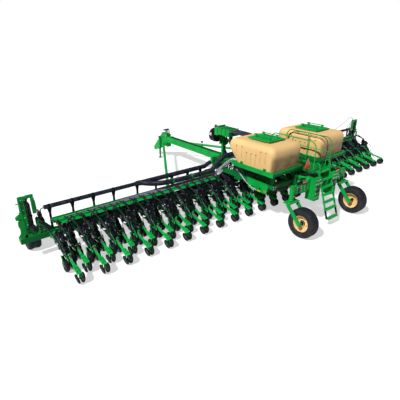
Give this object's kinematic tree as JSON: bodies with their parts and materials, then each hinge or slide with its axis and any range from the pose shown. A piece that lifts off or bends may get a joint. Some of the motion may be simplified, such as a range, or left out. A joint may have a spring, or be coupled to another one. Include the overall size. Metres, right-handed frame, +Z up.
{
  "type": "towed row-crop planter",
  "caption": "Towed wide row-crop planter on tyres with forward-folding wings, row units, twin seed hoppers, telescoping tongue and rear casters.",
  "frame": {"origin": "middle of the footprint, on the floor", "axes": "+X to the machine's right, +Y the way it travels (towards the hitch), +Z up"},
  "size_m": [19.4, 12.7646, 3.25],
  "materials": {
    "green_paint": "bright green enamel, semi-gloss",
    "tank_plastic": "rotationally moulded tan polyethylene, satin",
    "rim_paint": "tan enamel, semi-gloss",
    "tyre": "matt black rubber",
    "black_rubber": "matt black rubber hose",
    "black_plastic": "satin black plastic",
    "bare_steel": "bare worn steel",
    "sign_orange": "retro-reflective orange sheet"
  },
  "bodies": {
    "centre_frame": {"air_box": "green_paint", "air_hoses": "black_rubber", "centre_duct": "black_rubber", "centre_opener_discs": "bare_steel", "centre_row_frames": "green_paint", "centre_row_wheels": "black_rubber", "centre_seed_meters": "black_plastic", "centre_toolbar": "green_paint", "fan_housing": "black_plastic", "fan_stand": "green_paint", "handrails": "green_paint", "hopper_frame": "green_paint", "ladder": "green_paint", "ladder_step": "green_paint", "left_hinge_hoses": "black_rubber", "left_lift_arm": "green_paint", "left_seed_hopper": "tank_plastic", "main_frame": "green_paint", "right_hinge_hoses": "black_rubber", "right_lift_arm": "green_paint", "right_seed_hopper": "tank_plastic", "seed_boxes": "green_paint", "slow_vehicle_sign": "sign_orange", "tongue_sleeve": "green_paint", "walkway": "green_paint"},
    "left_wing": {"left_toolbar": "green_paint", "left_row_frames": "green_paint", "left_seed_meters": "black_plastic", "left_opener_discs": "bare_steel", "left_row_wheels": "black_rubber", "left_air_manifold": "black_plastic", "left_seed_tray": "green_paint"},
    "left_wing_wheel": {"left_wing_wheel": "tyre"},
    "left_main_wheel": {"left_main_wheel": "tyre"},
    "left_draft_link": {"left_draft_link": "green_paint"},
    "left_marker_arm": {"left_marker_arm": "green_paint"},
    "left_marker_boom": {"left_marker_boom": "green_paint"},
    "left_hopper_lid": {"left_hopper_lid": "green_paint"},
    "left_caster_fork": {"left_caster_fork": "green_paint"},
    "left_caster_wheel": {"left_caster_tyre": "tyre", "left_caster_rim": "rim_paint"},
    "right_wing": {"right_toolbar": "green_paint", "right_row_frames": "green_paint", "right_seed_meters": "black_plastic", "right_opener_discs": "bare_steel", "right_row_wheels": "black_rubber", "right_air_manifold": "black_plastic", "right_seed_tray": "green_paint"},
    "right_wing_wheel": {"right_wing_wheel": "tyre"},
    "right_main_wheel": {"right_main_wheel": "tyre"},
    "right_draft_link": {"right_draft_link": "green_paint"},
    "right_marker_arm": {"right_marker_arm": "green_paint"},
    "right_marker_boom": {"right_marker_boom": "green_paint"},
    "right_hopper_lid": {"right_hopper_lid": "green_paint"},
    "right_caster_fork": {"right_caster_fork": "green_paint"},
    "right_caster_wheel": {"right_caster_tyre": "tyre", "right_caster_rim": "rim_paint"},
    "fan_rotor": {"fan_rotor": "black_plastic"},
    "tongue_inner": {"tongue_inner": "green_paint"},
    "jack_leg": {"jack_leg": "green_paint"}
  },
  "joints": [
    {"name": "left_wing_fold", "type": "hinge", "parent": "centre_frame", "child": "left_wing", "pos_m": [-1.73, -1.09, 0.71], "axis": [0, 0, -1], "range_deg": [0, 90], "deforming": ["left_hinge_hoses"]},
    {"name": "right_wing_fold", "type": "hinge", "parent": "centre_frame", "child": "right_wing", "pos_m": [1.73, -1.09, 0.71], "axis": [0, 0, 1], "range_deg": [0, 90], "deforming": ["right_hinge_hoses"]},
    {"name": "tongue_slide", "type": "slide", "parent": "centre_frame", "child": "tongue_inner", "axis": [0, 1, 0], "range_m": [0, 3.128]},
    {"name": "left_link_swing", "type": "hinge", "parent": "left_wing", "child": "left_draft_link", "pos_m": [-4, -1.03, 0.79], "axis": [0, 0, 1], "range_deg": [0, 110.85]},
    {"name": "right_link_swing", "type": "hinge", "parent": "right_wing", "child": "right_draft_link", "pos_m": [4, -1.03, 0.79], "axis": [0, 0, -1], "range_deg": [0, 110.85]},
    {"name": "left_wing_wheel_spin", "type": "hinge", "parent": "left_wing", "child": "left_wing_wheel", "pos_m": [-9.24, -0.68, 0.4], "axis": [-1, 0, 0], "continuous": true},
    {"name": "left_main_wheel_spin", "type": "hinge", "parent": "centre_frame", "child": "left_main_wheel", "pos_m": [-1.175, -0.32, 0.48], "axis": [-1, 0, 0], "continuous": true},
    {"name": "left_caster_swivel", "type": "hinge", "parent": "centre_frame", "child": "left_caster_fork", "pos_m": [-1.62, -5.2425, 1.3], "axis": [0, 0, 1], "continuous": true},
    {"name": "left_caster_spin", "type": "hinge", "parent": "left_caster_fork", "child": "left_caster_wheel", "pos_m": [-1.62, -5.8425, 0.54], "axis": [-1, 0, 0], "continuous": true},
    {"name": "left_lid_open", "type": "hinge", "parent": "centre_frame", "child": "left_hopper_lid", "pos_m": [-1.862, -3.7125, 3.105], "axis": [0, -1, 0], "range_deg": [0, 100]},
    {"name": "left_marker_swing", "type": "hinge", "parent": "left_wing", "child": "left_marker_arm", "pos_m": [-9.45, -1.3325, 1], "axis": [0, -1, 0], "range_deg": [0, 106]},
    {"name": "left_marker_unfold", "type": "hinge", "parent": "left_marker_arm", "child": "left_marker_boom", "pos_m": [-9.29, -1.3325, 2.065], "axis": [0, -1, 0], "range_deg": [0, 180]},
    {"name": "right_wing_wheel_spin", "type": "hinge", "parent": "right_wing", "child": "right_wing_wheel", "pos_m": [9.24, -0.68, 0.4], "axis": [-1, 0, 0], "continuous": true},
    {"name": "right_main_wheel_spin", "type": "hinge", "parent": "centre_frame", "child": "right_main_wheel", "pos_m": [1.175, -0.32, 0.48], "axis": [-1, 0, 0], "continuous": true},
    {"name": "right_caster_swivel", "type": "hinge", "parent": "centre_frame", "child": "right_caster_fork", "pos_m": [1.62, -5.2425, 1.3], "axis": [0, 0, 1], "continuous": true},
    {"name": "right_caster_spin", "type": "hinge", "parent": "right_caster_fork", "child": "right_caster_wheel", "pos_m": [1.62, -5.8425, 0.54], "axis": [-1, 0, 0], "continuous": true},
    {"name": "right_lid_open", "type": "hinge", "parent": "centre_frame", "child": "right_hopper_lid", "pos_m": [1.862, -3.7125, 3.105], "axis": [0, 1, 0], "range_deg": [0, 100]},
    {"name": "right_marker_swing", "type": "hinge", "parent": "right_wing", "child": "right_marker_arm", "pos_m": [9.45, -1.3325, 1], "axis": [0, 1, 0], "range_deg": [0, 106]},
    {"name": "right_marker_unfold", "type": "hinge", "parent": "right_marker_arm", "child": "right_marker_boom", "pos_m": [9.29, -1.3325, 2.065], "axis": [0, 1, 0], "range_deg": [0, 180]},
    {"name": "fan_spin", "type": "hinge", "parent": "centre_frame", "child": "fan_rotor", "pos_m": [-0.33, 0.1675, 2.33], "axis": [0, 1, 0], "continuous": true},
    {"name": "jack_lift", "type": "slide", "parent": "tongue_inner", "child": "jack_leg", "axis": [0, 0, 1], "range_m": [0, 0.4]}
  ],
  "couplings": [
    {"joint": "right_wing_fold", "follows": "left_wing_fold", "ratio": 1},
    {"joint": "tongue_slide", "follows": "left_wing_fold", "m_per_rad": 1.991},
    {"joint": "left_link_swing", "follows": "left_wing_fold", "ratio": 1.2315},
    {"joint": "right_link_swing", "follows": "left_wing_fold", "ratio": 1.2315},
    {"joint": "left_marker_unfold", "follows": "left_marker_swing", "ratio": 1.6981},
    {"joint": "right_marker_unfold", "follows": "right_marker_swing", "ratio": 1.6981}
  ]
}
